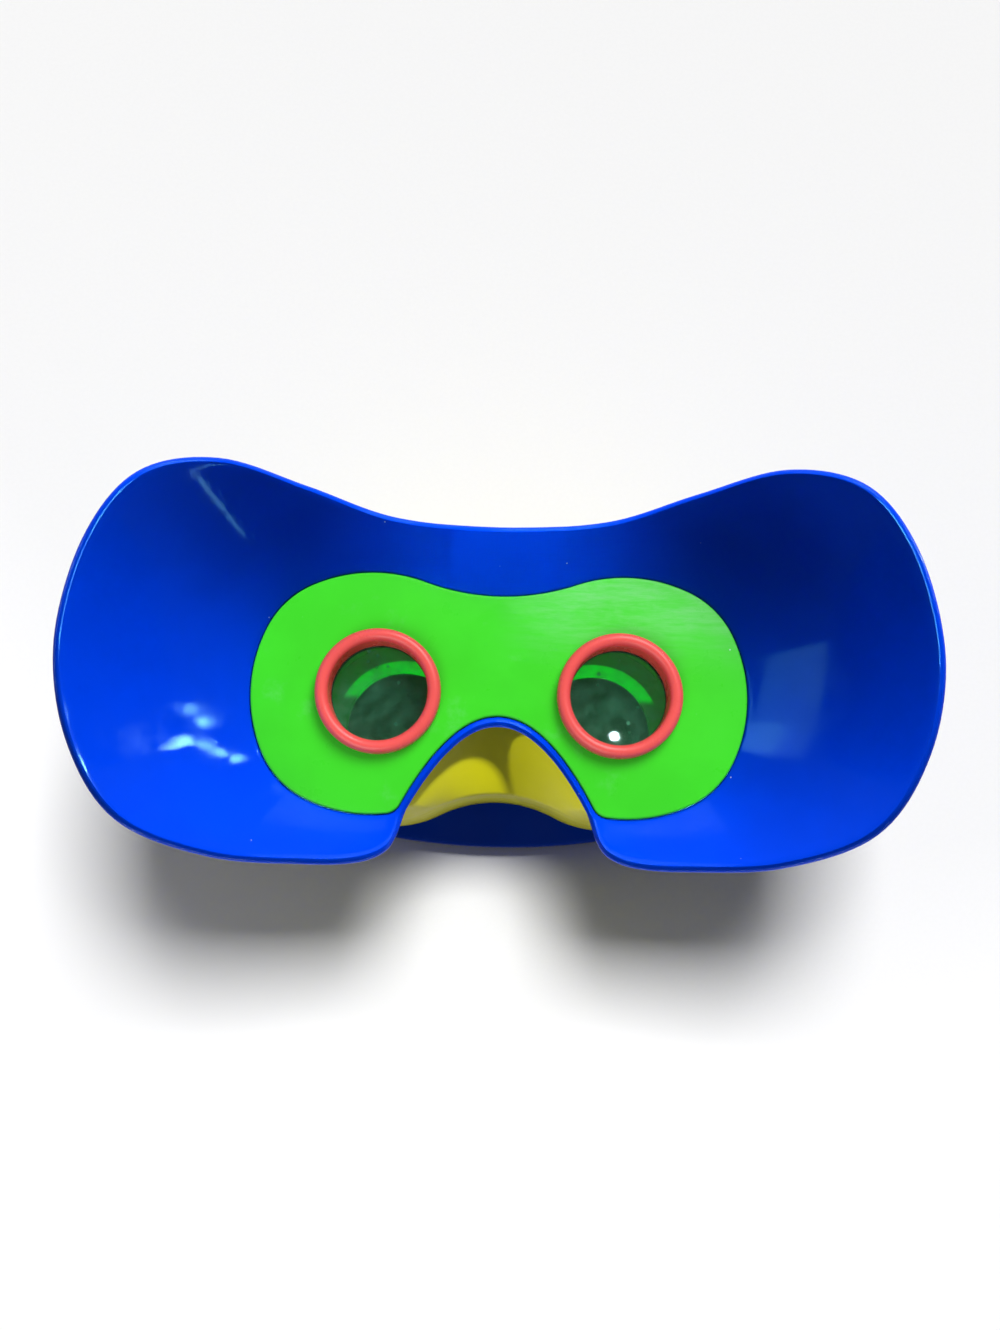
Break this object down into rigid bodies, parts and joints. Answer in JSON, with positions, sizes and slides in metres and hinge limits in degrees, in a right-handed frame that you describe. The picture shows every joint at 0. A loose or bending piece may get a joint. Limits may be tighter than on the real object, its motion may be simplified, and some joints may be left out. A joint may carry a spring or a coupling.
{
  "type": "toy binoculars",
  "caption": "Toy binoculars with a flared face shield, nose notch, inlaid face plate, rolled eye rings, twin-barrel body on an oval bezel, and a focus knob that slides the lens carriage.",
  "frame": {"origin": "on the front face, midway between the optical axes", "axes": "+X across the eyepieces, +Y towards the forehead, +Z along the line of sight towards the eyes"},
  "size_m": [0.184, 0.0873, 0.1235],
  "materials": {
    "blue_plastic": "glossy moulded, lightly scratched",
    "green_plastic": "satin gloss, moulded",
    "green_tube": "satin, moulded",
    "red_plastic": "satin gloss, moulded",
    "clear_lens": "clear moulded lens",
    "black_plastic": "matte moulded",
    "steel": "plated",
    "yellow_plastic": "satin gloss, moulded",
    "navy_plastic": "high gloss, moulded",
    "white_plastic": "satin moulded"
  },
  "bodies": {
    "housing": {"face_shield": "blue_plastic", "face_plate": "green_plastic", "left_eye_ring": "red_plastic", "right_eye_ring": "red_plastic", "left_eye_lens": "clear_lens", "right_eye_lens": "clear_lens", "left_eye_retainer": "black_plastic", "right_eye_retainer": "black_plastic", "left_sight_tube": "green_tube", "right_sight_tube": "green_tube", "shield_screws": "steel", "upper_body_shell": "yellow_plastic", "lower_body_shell": "yellow_plastic", "body_screws": "steel", "front_bezel": "navy_plastic", "bezel_screws": "steel", "front_bearing": "white_plastic", "rear_bearing": "white_plastic", "left_guide_rod": "steel", "right_guide_rod": "steel"},
    "focus_wheel": {"focus_knob": "red_plastic", "focus_screw": "steel"},
    "carriage": {"lens_carriage": "black_plastic", "left_objective_lens": "clear_lens", "right_objective_lens": "clear_lens", "left_objective_retainer": "black_plastic", "right_objective_retainer": "black_plastic"}
  },
  "joints": [
    {"name": "focus_turn", "type": "hinge", "parent": "housing", "child": "focus_wheel", "pos_m": [0, 0.0122, 0.0455], "axis": [0, 0, 1], "range_deg": [-150.2, 150.2]},
    {"name": "carriage_slide", "type": "slide", "parent": "housing", "child": "carriage", "axis": [0, 0, 1], "range_m": [-0.0025, 0.0025]}
  ],
  "couplings": [
    {"joint": "focus_turn", "follows": "carriage_slide", "rad_per_m": -1047.2}
  ]
}
